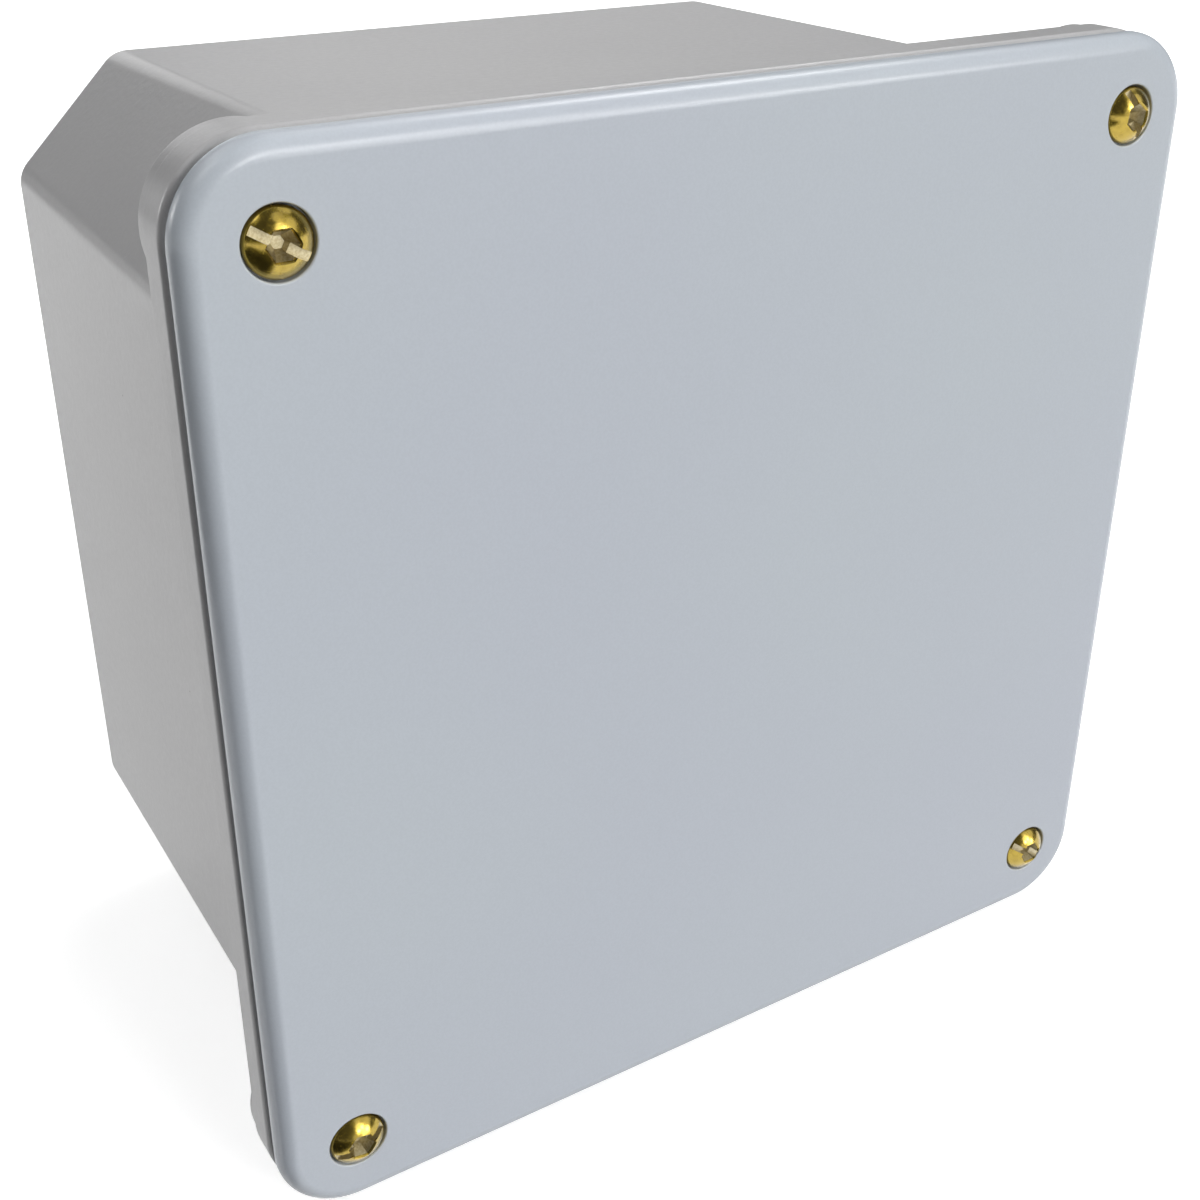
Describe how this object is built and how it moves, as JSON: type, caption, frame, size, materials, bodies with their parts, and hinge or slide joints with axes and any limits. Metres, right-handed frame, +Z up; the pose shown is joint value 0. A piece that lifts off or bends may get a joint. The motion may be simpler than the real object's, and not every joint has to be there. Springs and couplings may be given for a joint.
{
  "type": "electrical junction box",
  "caption": "Square moulded junction box with flat corner chamfers, a gasketed lift-off cover with a rolled edge, and captive brass cover screws.",
  "frame": {"origin": "centre of the flat back face, which goes against the wall", "axes": "+Z up, +X to the right of someone facing the cover, cover facing -Y"},
  "size_m": [0.175, 0.1115, 0.175],
  "materials": {
    "body_pvc": "moulded grey, faintly speckled, satin",
    "cover_pvc": "smooth light blue-grey, satin gloss",
    "gasket_foam": "dark closed-cell foam, matt",
    "screw_brass": "bright, polished dome",
    "washer_nylon": "natural nylon",
    "insert_brass": "machined, satin"
  },
  "bodies": {
    "box": {"box_body": "body_pvc", "threaded_insert_top_left": "insert_brass", "threaded_insert_top_right": "insert_brass", "threaded_insert_bottom_left": "insert_brass", "threaded_insert_bottom_right": "insert_brass"},
    "cover": {"front_cover": "cover_pvc", "cover_gasket": "gasket_foam"},
    "washer_top_left": {"retaining_washer_top_left": "washer_nylon"},
    "screw_top_left": {"cover_screw_top_left": "screw_brass"},
    "washer_top_right": {"retaining_washer_top_right": "washer_nylon"},
    "screw_top_right": {"cover_screw_top_right": "screw_brass"},
    "washer_bottom_left": {"retaining_washer_bottom_left": "washer_nylon"},
    "screw_bottom_left": {"cover_screw_bottom_left": "screw_brass"},
    "washer_bottom_right": {"retaining_washer_bottom_right": "washer_nylon"},
    "screw_bottom_right": {"cover_screw_bottom_right": "screw_brass"}
  },
  "joints": [
    {"name": "cover_lift", "type": "slide", "parent": "box", "child": "cover", "axis": [0, -1, 0], "range_m": [0, 0.12]},
    {"name": "screw_turn_top_left", "type": "hinge", "parent": "cover", "child": "washer_top_left", "pos_m": [-0.07445, -0.1045, 0.07445], "axis": [0, -1, 0], "range_deg": [0, 2160]},
    {"name": "screw_travel_top_left", "type": "slide", "parent": "washer_top_left", "child": "screw_top_left", "axis": [0, -1, 0], "range_m": [0, 0.00635]},
    {"name": "screw_turn_top_right", "type": "hinge", "parent": "cover", "child": "washer_top_right", "pos_m": [0.07445, -0.1045, 0.07445], "axis": [0, -1, 0], "range_deg": [0, 2160]},
    {"name": "screw_travel_top_right", "type": "slide", "parent": "washer_top_right", "child": "screw_top_right", "axis": [0, -1, 0], "range_m": [0, 0.00635]},
    {"name": "screw_turn_bottom_left", "type": "hinge", "parent": "cover", "child": "washer_bottom_left", "pos_m": [-0.07445, -0.1045, -0.07445], "axis": [0, -1, 0], "range_deg": [0, 2160]},
    {"name": "screw_travel_bottom_left", "type": "slide", "parent": "washer_bottom_left", "child": "screw_bottom_left", "axis": [0, -1, 0], "range_m": [0, 0.00635]},
    {"name": "screw_turn_bottom_right", "type": "hinge", "parent": "cover", "child": "washer_bottom_right", "pos_m": [0.07445, -0.1045, -0.07445], "axis": [0, -1, 0], "range_deg": [0, 2160]},
    {"name": "screw_travel_bottom_right", "type": "slide", "parent": "washer_bottom_right", "child": "screw_bottom_right", "axis": [0, -1, 0], "range_m": [0, 0.00635]}
  ],
  "couplings": [
    {"joint": "screw_turn_top_left", "follows": "screw_travel_top_left", "rad_per_m": 5936.8},
    {"joint": "screw_turn_top_right", "follows": "screw_travel_top_right", "rad_per_m": 5936.8},
    {"joint": "screw_turn_bottom_left", "follows": "screw_travel_bottom_left", "rad_per_m": 5936.8},
    {"joint": "screw_turn_bottom_right", "follows": "screw_travel_bottom_right", "rad_per_m": 5936.8}
  ]
}
